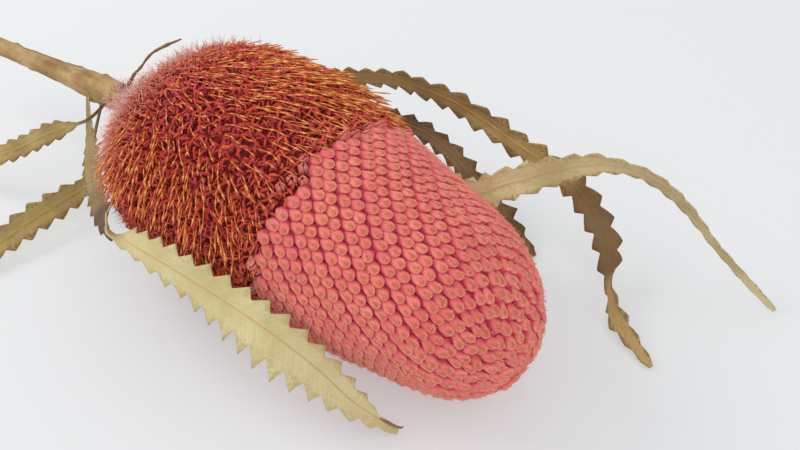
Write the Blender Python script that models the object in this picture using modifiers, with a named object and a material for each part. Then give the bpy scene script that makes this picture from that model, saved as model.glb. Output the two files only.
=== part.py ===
"""A dried banksia flower spike on its cut stem, with its saw-edged leaves, lying on its side.

Metres, +Z up. The surface that it lies on is z = 0. The spike lies along X, with its tip at +X and its
stem at -X, and the origin is the pressed flat spot under the closed florets.
"""

import math
import random

import bmesh
import bpy
from mathutils import Vector
from mathutils.geometry import delaunay_2d_cdt

MM = 0.001

# The spike: a blunt tip, a body that widens towards the base, and a rounded shoulder above the stem.
SPIKE_LENGTH = 149 * MM
SPIKE_TILT = math.radians(5)
SPIKE_TIP = Vector((80 * MM, 0, 27.1 * MM))
TIP_RADIUS = 23 * MM
BODY_RADIUS = 39.5 * MM
BODY_WIDENS_OVER = 88 * MM
TIP_DOME_LENGTH = 30 * MM
SHOULDER_LENGTH = 38 * MM
TO_BASE = Vector((-math.cos(SPIKE_TILT), 0, math.sin(SPIKE_TILT)))
ACROSS = Vector((0, 1, 0))
UPWARD = ACROSS.cross(TO_BASE)

# The florets follow the golden angle. Here they are fewer and larger than life.
GOLDEN_TURN = math.pi * (3 - math.sqrt(5))
FIRST_TURN = math.radians(-2)
FLORET_SPACING = 6.8 * MM
BARE_BASE = 1 * MM
STEM_SEAT = 145 * MM
BUD_HEIGHT = 2.6 * MM
BUD_SHOULDER = 1.0 * MM
BUD_CROWN = 0.6 * MM
OPEN_FLORET_HEIGHT = 5.0 * MM
OPEN_FLORET_LEAN = 1.6 * MM

# The open florets begin at a ring that leans a little, further from the tip along the +Y side.
OPENING_FROM_TIP = 65 * MM
OPENING_NORMAL = (TO_BASE - 0.10 * ACROSS).normalized()
GAP = 0.3 * MM

# A style is the wiry thread of an open floret. It stands out, then sweeps towards the tip.
STYLE_LENGTH = 10 * MM
STYLE_ROOT = 3.0 * MM
STYLE_RADIUS = 0.42 * MM
STYLE_EVERY = 3
STYLE_SWEEP = 0.62
STYLE_SIDES = 3
CLEAR_OF_BUDS = 1.5 * MM
SPREAD_SEED = 14

# The stem: x, height and radius of its centre line, from the spike to the cut end.
STEM_ROUTE = (
    (-64.8, 40.0, 4.6), (-69, 40.3, 4.3), (-75, 40.2, 4.2), (-83, 39.4, 4.4), (-92, 38.7, 4.9),
    (-103, 38.0, 4.6), (-118, 36.4, 3.8), (-140, 34.0, 3.3), (-163, 31.6, 3.1), (-186, 29.0, 3.1),
)
STEM_SIDES = 10
LEAF_THICKNESS = 0.7 * MM

# Each leaf: x, y and height of its midrib in millimetres, and its roll in degrees (0 lies flat), from the
# stem to the tip, then its greatest half width, the pitch of its teeth, the share of its length where it
# has widened, and the bluntness of its tip.
LEAVES = {
    "leaf_front": dict(
        route=((-99, -4.6, 36.2, -76), (-92, -10, 30, -105), (-73, -23, 30, -115), (-54, -36, 33, -104),
               (-39, -44, 35, -48), (-26, -45, 36, 40), (-8, -44, 35, 68), (10, -42, 32, 62),
               (26, -39, 27, 45), (38, -35, 19.5, 37), (47, -31, 11, 38), (56, -24, 2, 25)),
        half_width=7.4, pitch=6.6, widest=0.6, blunt=3.0),
    "leaf_left_upper": dict(
        route=((-89, -5.0, 37.6, -49), (-88, -12, 36, -58), (-93, -15, 33, -71), (-102, -19, 28, -54),
               (-112, -24, 21, -54), (-122, -29, 15, -50), (-132, -34, 9, -35), (-140, -40, 3, -12)),
        half_width=4.6, pitch=5.6, widest=0.35, blunt=2.5),
    "leaf_left_lower": dict(
        route=((-95, -2.2, 33.9, -2), (-96, -8, 20, 4), (-91, -16, 11, -19), (-91, -27, 9, -35),
               (-91, -39, 8, -35), (-91, -52, 6, -30), (-92, -64, 4, -15), (-95, -76, 1.5, 0)),
        half_width=5.8, pitch=6.0, widest=0.35, blunt=2.5),
    "leaf_curled": dict(
        route=((-82, 0, 44.0, 94), (-79, 2, 50, 107), (-75, 2, 54, 107), (-70, 3, 60, 91), (-65, 5, 64, 76),
               (-60, 8, 67, 72)),
        half_width=1.2, pitch=6.0, widest=0.35, blunt=2.0),
    "leaf_back_long": dict(
        route=((-84, 3.2, 35.6, 20), (-82, 20, 29, 30), (-68, 40, 29, 70), (-48, 56, 36, 100),
               (-31, 60, 42, 118), (-15, 61, 46, 110), (6, 63, 45, 94), (26, 67, 37, 85), (46, 72, 27, 75),
               (59, 71, 15, 29), (66, 65, 9.5, 50), (71, 58, 7, 88), (79, 50, 5, 50), (95, 43, 1.2, 20)),
        half_width=4.8, pitch=7.0, widest=0.35, blunt=5.0),
    "leaf_back_dark": dict(
        route=((-88, 2.4, 34.5, 10), (-88, 22, 24, 20), (-68, 52, 20, 40), (-44, 68, 19, 60),
               (-20, 73, 20, 74), (-5, 72, 18, 58), (7, 69, 14.5, 50), (20, 66, 8.5, 40), (40, 62, 1.2, 10)),
        half_width=5.0, pitch=7.0, widest=0.35, blunt=3.0),
    "leaf_arched": dict(
        route=((-80, 3.6, 36.4, 30), (-74, 20, 32, 60), (-58, 40, 31, 70), (-16, 46, 31, 60),
               (22, 43, 29, 50), (37, 49, 36, 55), (46, 58, 40, 80), (57, 68, 42.5, 110),
               (68, 75, 40, 125), (79, 81, 31, 126), (92, 85, 17, 125), (111, 89, 1.2, 90)),
        half_width=5.4, pitch=7.0, widest=0.35, blunt=2.0),
}
LEAF_FOLD = 0.12
LEAF_STALK = 0.13


def smooth(t):
    """A step from 0 to 1 with soft ends."""
    t = min(1.0, max(0.0, t))
    return t * t * (3 - 2 * t)


def spike_radius(s):
    """The spike's radius over its floret tops, at distance s from its tip."""
    radius = TIP_RADIUS + (BODY_RADIUS - TIP_RADIUS) * min(1.0, s / BODY_WIDENS_OVER)
    if s < TIP_DOME_LENGTH:
        radius *= math.sqrt(1 - (1 - s / TIP_DOME_LENGTH) ** 2.2)
    past = (s - (SPIKE_LENGTH - SHOULDER_LENGTH)) / SHOULDER_LENGTH
    if past > 0:
        radius *= math.sqrt(max(0.0, 1 - past ** 2.4))
    return radius


def spike_point(s, angle, height=0.0):
    """A point over the spike's surface, height above it along the surface's normal."""
    step = 0.2 * MM
    rise = spike_radius(min(SPIKE_LENGTH, s + step)) - spike_radius(max(0.0, s - step))
    slope = math.atan2(rise, 2 * step if s > step else step + s)
    outward = ACROSS * math.cos(angle) + UPWARD * math.sin(angle)
    normal = outward * math.cos(slope) - TO_BASE * math.sin(slope)
    return SPIKE_TIP + TO_BASE * s + outward * spike_radius(s) + normal * height


def floret_sites():
    """(s, angle, conformal radius) of each floret, one golden turn and one floret's area after the last."""
    steps = 1440
    step = (SPIKE_LENGTH - BARE_BASE) / steps
    sites = []
    area = 0.0
    growth = 0.0
    for i in range(steps):
        s = (i + 0.5) * step
        radius = max(spike_radius(s), 0.3 * MM)
        length = math.hypot(step, spike_radius(s + step / 2) - spike_radius(s - step / 2))
        area += 2 * math.pi * radius * length
        growth += length / radius
        while area > (len(sites) + 0.5) * FLORET_SPACING ** 2:
            sites.append((s, FIRST_TURN + len(sites) * GOLDEN_TURN, math.exp(growth)))
    return sites


def ring_of(corner_angles):
    """Corner indices in the order that goes round their floret."""
    return [corner for _, corner in sorted(corner_angles)]


def floret_cells(bm, floor_height):
    """A face for each floret, meeting its neighbours in the valleys between them, and the cap at the base."""
    sites = floret_sites()
    scale = sites[0][2]
    flat = [Vector((math.cos(a), math.sin(a))) * (q / scale) for _, a, q in sites]
    _, _, triangles, *_ = delaunay_2d_cdt(flat, [], [], 0, 1e-7)
    corners_of = {i: [] for i in range(len(sites))}
    for triangle in triangles:
        middle = sum((flat[i] for i in triangle), Vector((0, 0))) / 3
        s = sum(sites[i][0] for i in triangle) / 3
        turn = sum((flat[i].normalized() * spike_radius(sites[i][0]) for i in triangle), Vector((0, 0)))
        corner = bm.verts.new(spike_point(s, math.atan2(turn.y, turn.x), floor_height))
        for i in triangle:
            away = middle - flat[i]
            corners_of[i].append((math.atan2(away.y, away.x), corner))
    outer = outer_sites(triangles)
    cells = []
    for i, corner_angles in corners_of.items():
        if i not in outer:
            cells.append((bm.faces.new(ring_of(corner_angles)), sites[i]))
    rim = [edge for edge in bm.edges if len(edge.link_faces) == 1]
    loose = [v for v in bm.verts if not v.link_faces]
    bmesh.ops.delete(bm, geom=loose, context="VERTS")
    base = bmesh.ops.contextual_create(bm, geom=rim)["faces"]
    bmesh.ops.poke(bm, faces=base)["verts"][0].co = SPIKE_TIP + TO_BASE * (STEM_SEAT + 4 * MM)
    bmesh.ops.recalc_face_normals(bm, faces=bm.faces)
    return cells


def outer_sites(triangles):
    """The sites on the outer edge of the triangulation, which is the ring round the stem."""
    count = {}
    for a, b, c in triangles:
        for pair in ((a, b), (b, c), (c, a)):
            key = frozenset(pair)
            count[key] = count.get(key, 0) + 1
    return {i for pair, times in count.items() if times == 1 for i in pair}


def material(name, colour, roughness):
    made = bpy.data.materials.new(name)
    made.use_nodes = True
    shader = made.node_tree.nodes["Principled BSDF"]
    shader.inputs["Base Color"].default_value = (*colour, 1)
    shader.inputs["Roughness"].default_value = roughness
    shader.inputs["Metallic"].default_value = 0
    return made


def add_object(name, bm, collection, paint=None):
    mesh = bpy.data.meshes.new(name)
    bm.to_mesh(mesh)
    bm.free()
    if paint:
        mesh.materials.append(paint)
    made = bpy.data.objects.new(name, mesh)
    collection.objects.link(made)
    return made


def keep_side(bm, point, normal):
    """Cuts the solid by a plane, keeps what lies behind its normal, and closes the cut."""
    geometry = bm.verts[:] + bm.edges[:] + bm.faces[:]
    cut = bmesh.ops.bisect_plane(bm, geom=geometry, plane_co=point, plane_no=normal, clear_outer=True, dist=1e-6)
    rim = [item for item in cut["geom_cut"] if isinstance(item, bmesh.types.BMEdge)]
    bmesh.ops.holes_fill(bm, edges=rim)


def floor_cutter(collection):
    """A slab below z = 0, which presses the florets that the spike lies on flat."""
    bm = bmesh.new()
    bmesh.ops.create_cube(bm, size=0.4)
    bmesh.ops.translate(bm, verts=bm.verts, vec=(0, 0, -0.2))
    slab = add_object("floor_slab", bm, collection)
    slab.hide_render = True
    slab.display_type = "WIRE"
    return slab


def press_flat(piece, slab):
    cut = piece.modifiers.new("pressed_flat", "BOOLEAN")
    cut.operation = "DIFFERENCE"
    cut.solver = "MANIFOLD"
    cut.object = slab


def opening_point():
    return SPIKE_TIP + TO_BASE * OPENING_FROM_TIP


def closed_florets(collection, slab):
    """The tip end: rounded woolly buds packed in spirals, each a cell raised to a shouldered knob."""
    bm = bmesh.new()
    cells = floret_cells(bm, -BUD_HEIGHT)
    for face, _ in cells:
        reach = math.sqrt(face.calc_area())
        inset = min(BUD_SHOULDER, 0.22 * reach)
        bmesh.ops.inset_individual(bm, faces=[face], thickness=inset, depth=BUD_HEIGHT * min(1.0, reach / FLORET_SPACING))
        poked = bmesh.ops.poke(bm, faces=[face])
        crown = poked["verts"][0]
        crown.co += crown.normal * BUD_CROWN
    bmesh.ops.triangulate(bm, faces=bm.faces)
    keep_side(bm, opening_point() - OPENING_NORMAL * GAP, OPENING_NORMAL)
    piece = add_object("closed_florets", bm, collection, material("closed_florets", (0.72, 0.16, 0.15), 0.85))
    press_flat(piece, slab)
    return piece


def needle(path, radius):
    """A thin rod along the path, as its own closed mesh."""
    bm = bmesh.new()
    heading = (path[1] - path[0]).normalized()
    turn = Vector((0, 0, 1)).rotation_difference(heading).to_matrix()
    ring = bmesh.ops.create_circle(bm, segments=STYLE_SIDES, radius=radius)["verts"]
    bmesh.ops.rotate(bm, verts=ring, cent=(0, 0, 0), matrix=turn)
    bmesh.ops.translate(bm, verts=ring, vec=path[0])
    edges = bm.edges[:]
    for before, after in zip(path, path[1:]):
        grown = bmesh.ops.extrude_edge_only(bm, edges=edges)["geom"]
        ring = [item for item in grown if isinstance(item, bmesh.types.BMVert)]
        edges = [item for item in grown if isinstance(item, bmesh.types.BMEdge)]
        bmesh.ops.translate(bm, verts=ring, vec=after - before)
        new_heading = (after - before).normalized()
        bend = heading.rotation_difference(new_heading).to_matrix()
        bmesh.ops.rotate(bm, verts=ring, cent=after, matrix=bend)
        heading = new_heading
    bmesh.ops.holes_fill(bm, edges=bm.edges)
    bmesh.ops.recalc_face_normals(bm, faces=bm.faces)
    return bm


def style_path(s, angle, sweep, sideways_lean):
    """Out of the floret along the normal, then over towards the tip, and never into the surface below."""
    outward = (spike_point(s, angle, 1 * MM) - spike_point(s, angle)).normalized()
    sideways = outward.cross(TO_BASE).normalized()
    lean = -TO_BASE * sweep * (1 - max(0.0, outward.dot(TO_BASE))) + sideways * sideways_lean
    root = spike_point(s, angle, -OPEN_FLORET_HEIGHT - STYLE_ROOT)
    middle = root + outward * (OPEN_FLORET_HEIGHT + STYLE_ROOT - 1 * MM) + lean * 1 * MM
    tip = middle + (outward * 0.55 + lean * 1.3).normalized() * STYLE_LENGTH * 0.5
    path = [root, middle, tip]
    for point in path[1:]:
        point.z = max(point.z, STYLE_RADIUS + 0.3 * MM)
    return path


def open_florets(collection, slab):
    """The base end: split woolly florets in rough spirals, with wiry styles standing out of them."""
    bm = bmesh.new()
    cells = floret_cells(bm, -OPEN_FLORET_HEIGHT - 1.0 * MM)
    spread = random.Random(SPREAD_SEED)
    sites = []
    for face, site in cells:
        crown = bmesh.ops.poke(bm, faces=[face])["verts"][0]
        outward = crown.normal.copy()
        crown.co += outward * OPEN_FLORET_HEIGHT * spread.uniform(0.8, 1.0) - TO_BASE * OPEN_FLORET_LEAN
        sites.append(site)
    bmesh.ops.triangulate(bm, faces=bm.faces)
    keep_side(bm, opening_point(), -OPENING_NORMAL)
    keep_side(bm, SPIKE_TIP + TO_BASE * STEM_SEAT, TO_BASE)
    piece = add_object("open_florets", bm, collection, material("open_florets", (0.42, 0.06, 0.04), 0.9))
    styles = bpy.data.collections.new("styles")
    bpy.context.scene.collection.children.link(styles)
    for k, (s, angle, _) in enumerate(sites):
        past_opening = (spike_point(s, angle) - opening_point()).dot(OPENING_NORMAL)
        if k % STYLE_EVERY or past_opening < CLEAR_OF_BUDS:
            continue
        sweep = STYLE_SWEEP * min(1.0, (past_opening - CLEAR_OF_BUDS) / STYLE_LENGTH)
        path = style_path(s, angle, sweep, spread.uniform(-0.15, 0.15))
        add_object(f"style_{k:03d}", needle(path, STYLE_RADIUS), styles)
    join = piece.modifiers.new("with_styles", "BOOLEAN")
    join.operation = "UNION"
    join.solver = "MANIFOLD"
    join.operand_type = "COLLECTION"
    join.collection = styles
    apply_modifiers(piece)
    for style in list(styles.objects):
        bpy.data.objects.remove(style)
    bpy.data.collections.remove(styles)
    press_flat(piece, slab)
    return piece


def apply_modifiers(piece):
    """Makes the piece's mesh what its modifiers show, and drops them."""
    bpy.context.view_layer.update()
    graph = bpy.context.evaluated_depsgraph_get()
    mesh = bpy.data.meshes.new_from_object(piece.evaluated_get(graph))
    piece.modifiers.clear()
    piece.data = mesh


def route_point(points, t):
    """A point of the smooth curve through the rows of points, at t from 0 to 1, each row counting alike."""
    last = len(points) - 1
    i = min(last - 1, int(t * last))
    u = t * last - i
    a, b, c, d = (points[min(last, max(0, i + k))] for k in (-1, 0, 1, 2))
    return [
        0.5 * (2 * q + (r - p) * u + (2 * p - 5 * q + 4 * r - w) * u * u + (3 * q - p - 3 * r + w) * u ** 3)
        for p, q, r, w in zip(a, b, c, d)
    ]


def even_route(points, count):
    """Count rows of the smooth curve, evenly spaced along its length, and that length."""
    fine = [route_point(points, i / 400) for i in range(401)]
    far = [0.0]
    for p, q in zip(fine, fine[1:]):
        far.append(far[-1] + math.dist(p[:3], q[:3]))
    rows = []
    j = 0
    for i in range(count):
        want = far[-1] * i / (count - 1)
        while j < 399 and far[j + 1] < want:
            j += 1
        share = (want - far[j]) / max(1e-9, far[j + 1] - far[j])
        rows.append([p + (q - p) * share for p, q in zip(fine[j], fine[j + 1])])
    return rows, far[-1]


def leaf_width(u, widest, blunt, at_tooth):
    """The share of the leaf's half width at u along it: a lens, cut into teeth that point forward."""
    lens = smooth(u / widest) * (1 - max(0.0, 2 * u - 1) ** blunt) ** 0.8
    return LEAF_STALK + (1 - LEAF_STALK) * lens * (1.0 if at_tooth else 0.62)


def leaf(name, collection, paint, route, half_width, pitch, widest, blunt):
    """A blade along its midrib: a grid bent along the route, wide at each tooth and narrow at each notch."""
    _, length = even_route(route, 2)
    teeth = round(length / pitch)
    rows, _ = even_route(route, 10 * teeth + 1)
    bm = bmesh.new()
    bmesh.ops.create_grid(bm, x_segments=2 * teeth, y_segments=2, size=1)
    for vert in bm.verts:
        station = round((vert.co.x + 1) * teeth)
        side = round(vert.co.y)
        at_tooth = station % 2 == 1
        step = 10 * (station // 2) + 6 * at_tooth
        middle = Vector(rows[step][:3])
        ahead = Vector(rows[min(10 * teeth, step + 1)][:3]) - Vector(rows[max(0, step - 1)][:3])
        ahead.normalize()
        level = Vector((0, 0, 1)).cross(ahead).normalized()
        upright = ahead.cross(level)
        roll = math.radians(rows[step][3])
        across = level * math.cos(roll) + upright * math.sin(roll)
        normal = ahead.cross(across)
        reach = half_width * leaf_width(step / (10 * teeth), widest, blunt, at_tooth)
        vert.co = (middle + across * side * reach + normal * LEAF_FOLD * abs(side) * reach) * MM
    bmesh.ops.triangulate(bm, faces=bm.faces, quad_method="SHORT_EDGE")
    bmesh.ops.recalc_face_normals(bm, faces=bm.faces)
    piece = add_object(name, bm, collection, paint)
    thick = piece.modifiers.new("thickness", "SOLIDIFY")
    thick.thickness = LEAF_THICKNESS
    thick.offset = 0
    return piece


def stem(collection):
    """The woody stem, swollen where the leaves leave it, cut square at its far end."""
    curve = bpy.data.curves.new("stem", "CURVE")
    curve.dimensions = "3D"
    curve.bevel_depth = 1 * MM
    curve.bevel_resolution = (STEM_SIDES - 4) // 2
    curve.use_fill_caps = True
    count = 25
    spline = curve.splines.new("POLY")
    spline.points.add(count - 1)
    for i in range(count):
        x, height, radius = route_point(STEM_ROUTE, i / (count - 1))
        spline.points[i].co = (x * MM, 0, height * MM, 1)
        spline.points[i].radius = radius
    curve.materials.append(material("stem", (0.42, 0.25, 0.09), 0.8))
    made = bpy.data.objects.new("stem", curve)
    collection.objects.link(made)
    return made


def main():
    for old in list(bpy.data.objects):
        bpy.data.objects.remove(old)
    spike = bpy.data.collections.new("banksia_spike")
    cutters = bpy.data.collections.new("cutters")
    bpy.context.scene.collection.children.link(spike)
    bpy.context.scene.collection.children.link(cutters)
    slab = floor_cutter(cutters)
    closed_florets(spike, slab)
    open_florets(spike, slab)
    stem(spike)
    for name, shape in LEAVES.items():
        leaf(name, spike, material(name, (0.4, 0.32, 0.15), 0.7), **shape)


main()
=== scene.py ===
"""The looks of a dried banksia flower spike on its cut stem, with its saw-edged leaves, lying on its side.

Metres, +Z up, in the frame of the CAD part: the spike lies along X with its tip at +X, on the floor z = 0.
"""

import math
import random

import bmesh
import bpy
from mathutils import Matrix, Vector, noise
from mathutils.geometry import delaunay_2d_cdt


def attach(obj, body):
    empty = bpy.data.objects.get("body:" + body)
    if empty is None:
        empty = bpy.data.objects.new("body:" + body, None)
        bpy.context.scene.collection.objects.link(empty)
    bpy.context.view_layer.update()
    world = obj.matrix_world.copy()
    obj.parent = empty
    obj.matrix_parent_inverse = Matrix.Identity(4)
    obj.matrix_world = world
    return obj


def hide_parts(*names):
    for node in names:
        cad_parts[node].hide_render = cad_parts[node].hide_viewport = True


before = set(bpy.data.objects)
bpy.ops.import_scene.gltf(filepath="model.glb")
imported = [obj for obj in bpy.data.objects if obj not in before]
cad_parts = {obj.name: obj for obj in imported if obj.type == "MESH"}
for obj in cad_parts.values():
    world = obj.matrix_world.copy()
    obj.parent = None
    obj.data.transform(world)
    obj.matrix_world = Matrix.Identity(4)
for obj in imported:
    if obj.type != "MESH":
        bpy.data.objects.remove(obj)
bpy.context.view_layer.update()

MM = 0.001


# Closed florets. The tip end of the spike: woolly buds packed in spirals round the woody axis, each a
# rounded knob that leans towards the tip, with a bare tan spot on its crown. The buds stand in pairs of
# columns with a deeper groove between the pairs, and the ones under the spike are pressed by its weight.

SPIKE_LENGTH = 149 * MM
SPIKE_TILT = math.radians(5)
SPIKE_TIP = Vector((80 * MM, 0, 27.1 * MM))
TIP_RADIUS = 23 * MM
BODY_RADIUS = 39.5 * MM
BODY_WIDENS_OVER = 88 * MM
TIP_DOME_LENGTH = 30 * MM
TIP_ROUNDNESS = 2.2
SHOULDER_LENGTH = 38 * MM
SHOULDER_ROUNDNESS = 2.4

# How far the spike's upper side sags towards its base, and its flank at one angle is drawn in.
SAG_DEPTH = 3.6 * MM
SAG_FROM = 90 * MM
SAG_OVER = 38 * MM
SIDE_SAG_DEPTH = 4.2 * MM
SIDE_SAG_ANGLE = math.radians(212)
SIDE_SAG_SPREAD = math.radians(34)

TO_BASE = Vector((-math.cos(SPIKE_TILT), 0, math.sin(SPIKE_TILT)))
ACROSS = Vector((0, 1, 0))
UPWARD = ACROSS.cross(TO_BASE)

OPENING_FROM_TIP = 65 * MM
OPENING_NORMAL = (TO_BASE + 0.01 * ACROSS).normalized()

BORDER_SHIFT = 2.0 * MM
BORDER_WANDER = 2.4 * MM
BORDER_WAVES = 140

# The spiral that all florets stand in, worked out in small steps from the tip.
FLORET_TURN = math.tau * 0.29519
FIRST_TURN = math.radians(30)
FLORET_SPACING = 3.43 * MM
SPIRAL_COLUMNS = 44
COLUMN_STEP = 13
SITE_STEPS = 12000
BASE_GAP = 1 * MM
LEAST_RADIUS = 0.3 * MM

# The valleys between the buds, and where the mesh ends in the spike and on the floor.
PIT_DEPTH = 1.75 * MM
TAIL_DEPTH = 0.8 * MM
GROOVE_DEPTH = 0.35 * MM
# A tail corner keeps this share of crown colour. The pits and the grooves between pairs keep none, and are
# painted darkest, as shade.
TAIL_SHADE = 0.7
CAP_SHARE = 0.7
FLOOR_CLEARANCE = 0.05 * MM

# A bud's shape. How much one differs from the next is in radians, millimetres and shares of its size, and
# the buds of the tip's dome differ more, and stand more upright.
DROP_LENGTH = 2.40 * MM
DROP_WIDTH = 2.02 * MM
PAIR_SHIFT = 0.20 * MM
BUD_LEAN = math.radians(8)
LEAN_SPREAD = 0.12
TIP_LEAN_SPREAD = 0.3
RISE_SPREAD = 0.10
TIP_RISE_SPREAD = 0.22
BUD_SIZES = (0.94, 1.04)
TIP_BUDS_SMALLER = 0.10
TIP_UPRIGHT = 0.55
ROUGH_RISE = 0.08
ROUGH_SHIFT = 0.06
FIRST_INSET = 0.05 * MM
RIM_AT = 0.72
RIM_OVER = 0.3
BUD_SEED = 5

# Each ring of a bud, from its foot to its crown: how far its outline is a drop instead of its cell, the
# size of that outline, its move towards the nose and its height in millimetres, how far it lies lower on
# the tail side, then its share of crown colour and of the spot.
BUD_RINGS = (
    (0.40, 0.96, 0.10, -0.90, 0.10, 0.40, 0.0),
    (0.85, 0.96, 0.45, -0.35, 0.60, 0.75, 0.0),
    (1.00, 0.78, 0.95, 0.20, 0.75, 0.96, 0.05),
    (1.00, 0.36, 1.50, 0.42, 0.35, 1.00, 0.80),
)


def smooth(t):
    """A step from 0 to 1 with soft ends."""
    t = min(1.0, max(0.0, t))
    return t * t * (3 - 2 * t)


def spike_radius(s):
    """The spike's radius over its floret tops, at distance s from its tip."""
    radius = TIP_RADIUS + (BODY_RADIUS - TIP_RADIUS) * min(1.0, s / BODY_WIDENS_OVER)
    if s < TIP_DOME_LENGTH:
        radius *= math.sqrt(1 - (1 - s / TIP_DOME_LENGTH) ** TIP_ROUNDNESS)
    past = (s - (SPIKE_LENGTH - SHOULDER_LENGTH)) / SHOULDER_LENGTH
    if past > 0:
        radius *= math.sqrt(max(0.0, 1 - past ** SHOULDER_ROUNDNESS))
    return radius


def spike_frame(s, angle):
    """A point of the spike's surface, and there the ways outwards, towards the tip and round it."""
    step = 0.2 * MM
    rise = spike_radius(min(SPIKE_LENGTH, s + step)) - spike_radius(max(0.0, s - step))
    slope = math.atan2(rise, 2 * step if s > step else step + s)
    ray = ACROSS * math.cos(angle) + UPWARD * math.sin(angle)
    around = UPWARD * math.cos(angle) - ACROSS * math.sin(angle)
    outward = ray * math.cos(slope) - TO_BASE * math.sin(slope)
    tipward = around.cross(outward)
    if tipward.dot(TO_BASE) > 0:
        tipward.negate()
    sag = SAG_DEPTH * smooth((s - SAG_FROM) / SAG_OVER) * max(0.0, math.sin(angle)) ** 2
    from_side = math.remainder(angle - SIDE_SAG_ANGLE, math.tau)
    sag += SIDE_SAG_DEPTH * math.exp(-(from_side / SIDE_SAG_SPREAD) ** 2) * smooth(s / TIP_DOME_LENGTH)
    return SPIKE_TIP + TO_BASE * s + ray * max(0.0, spike_radius(s) - sag), outward, tipward, around


def drop_outline(turn, nose, side):
    """The outline of a bud at this turn from its nose: round in front, and narrow at its tail."""
    return nose * DROP_LENGTH * math.cos(turn) + side * DROP_WIDTH * math.sin(turn) * math.cos(turn / 2)


def floret_sites():
    """(s, angle, conformal radius) of each floret, one turn and one floret's area after the last."""
    step = (SPIKE_LENGTH - BASE_GAP) / SITE_STEPS
    sites = []
    area = 0.0
    growth = 0.0
    for i in range(SITE_STEPS):
        s = (i + 0.5) * step
        radius = max(spike_radius(s), LEAST_RADIUS)
        length = math.hypot(step, spike_radius(s + step / 2) - spike_radius(s - step / 2))
        area += 2 * math.pi * radius * length
        growth += length / radius
        while area > (len(sites) + 0.5) * FLORET_SPACING ** 2:
            sites.append((s, FIRST_TURN + len(sites) * FLORET_TURN, math.exp(growth)))
    return sites


def past_opening(point):
    """How far a point lies past the ring where the florets begin to be open."""
    return (point - SPIKE_TIP - TO_BASE * OPENING_FROM_TIP).dot(OPENING_NORMAL)


def column_of(i):
    """Which of the spiral columns a floret stands in, counted round the spike."""
    return COLUMN_STEP * i % SPIRAL_COLUMNS


def valley_depth(triangle):
    """Deep in the pit before a bud's nose, shallow where a tail starts, and deeper between two pairs."""
    low, middle, high = sorted(triangle)
    pairs = {(column_of(i) + 1) // 2 % (SPIRAL_COLUMNS // 2) for i in triangle}
    return (PIT_DEPTH if middle - low < high - middle else TAIL_DEPTH) + GROOVE_DEPTH * (len(pairs) > 1)


def floret_cells(bm, chosen, depth_of, shade):
    """A face in bm for each chosen floret, meeting its neighbours in the valleys that depth_of gives."""
    first = sites[0][2]
    flat = [Vector((math.cos(a), math.sin(a))) * (q / first) for _, a, q in sites]
    _, _, triangles, *_ = delaunay_2d_cdt(flat, [], [], 0, 1e-7)
    rim_count = {}
    for triangle in triangles:
        for pair in zip(triangle, triangle[1:] + triangle[:1]):
            key = frozenset(pair)
            rim_count[key] = rim_count.get(key, 0) + 1
    on_rim = {i for pair, count in rim_count.items() if count == 1 for i in pair}
    corners_of = {i: [] for i in chosen if i not in on_rim}
    for triangle in triangles:
        if not any(i in corners_of for i in triangle):
            continue
        middle = sum((flat[i] for i in triangle), Vector((0, 0))) / 3
        s = sum(sites[i][0] for i in triangle) / 3
        turn = sum((flat[i].normalized() * spike_radius(sites[i][0]) for i in triangle), Vector((0, 0)))
        point, outward, _, _ = spike_frame(s, math.atan2(turn.y, turn.x))
        depth = depth_of(triangle)
        corner = bm.verts.new(point - outward * depth)
        # Deeper corners get less of this layer, which the materials paint darker: painted shade in the pits
        # and grooves.
        corner[shade] = TAIL_SHADE * max(0.0, 1 - (depth - TAIL_DEPTH) / GROOVE_DEPTH)
        for i in triangle:
            if i in corners_of:
                away = middle - flat[i]
                corners_of[i].append((math.atan2(away.y, away.x), corner))
    cells = {}
    for i, corner_angles in corners_of.items():
        corner_angles.sort(key=lambda pair: pair[0])
        cells[i] = bm.faces.new([corner for _, corner in corner_angles])
    bmesh.ops.delete(bm, geom=[v for v in bm.verts if not v.link_faces], context="VERTS")
    return cells


def close_ends(bm):
    """Leads each open rim a little way into the spike, and fills it there with a cap."""
    rim = [edge for edge in bm.edges if len(edge.link_faces) == 1]
    grown = bmesh.ops.extrude_edge_only(bm, edges=rim)["geom"]
    for vert in grown:
        if isinstance(vert, bmesh.types.BMVert):
            on_axis = SPIKE_TIP + TO_BASE * (vert.co - SPIKE_TIP).dot(TO_BASE)
            vert.co = on_axis + (vert.co - on_axis) * CAP_SHARE
    inner = [edge for edge in grown if isinstance(edge, bmesh.types.BMEdge)]
    bmesh.ops.holes_fill(bm, edges=inner)
    bmesh.ops.recalc_face_normals(bm, faces=bm.faces)


def press_on_floor(bm):
    """Flattens what would reach through the floor."""
    for vert in bm.verts:
        if vert.co.z < FLOOR_CLEARANCE:
            vert.co.z = FLOOR_CLEARANCE


def make_piece(name, bm, *paints):
    """The finished mesh as an object at the origin, smooth shaded, in its materials."""
    for face in bm.faces:
        face.smooth = True
    mesh = bpy.data.meshes.new(name)
    bm.to_mesh(mesh)
    bm.free()
    for paint in paints:
        mesh.materials.append(paint)
    piece = bpy.data.objects.new(name, mesh)
    bpy.context.scene.collection.objects.link(piece)
    return piece


def linear(red, green, blue):
    """A colour as a screen shows it, from 0 to 255, as the shader's own values."""
    shares = [c / 255 for c in (red, green, blue)]
    return (*(c / 12.92 if c <= 0.04045 else ((c + 0.055) / 1.055) ** 2.4 for c in shares), 1)


def add_node(tree, kind, inputs=None, **settings):
    """A shader node with its settings, each input given a value or joined to another node's output."""
    made = tree.nodes.new(kind)
    for name, value in settings.items():
        setattr(made, name, value)
    for key, value in (inputs or {}).items():
        if isinstance(value, bpy.types.NodeSocket):
            tree.links.new(value, made.inputs[key])
        else:
            made.inputs[key].default_value = value
    return made


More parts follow.
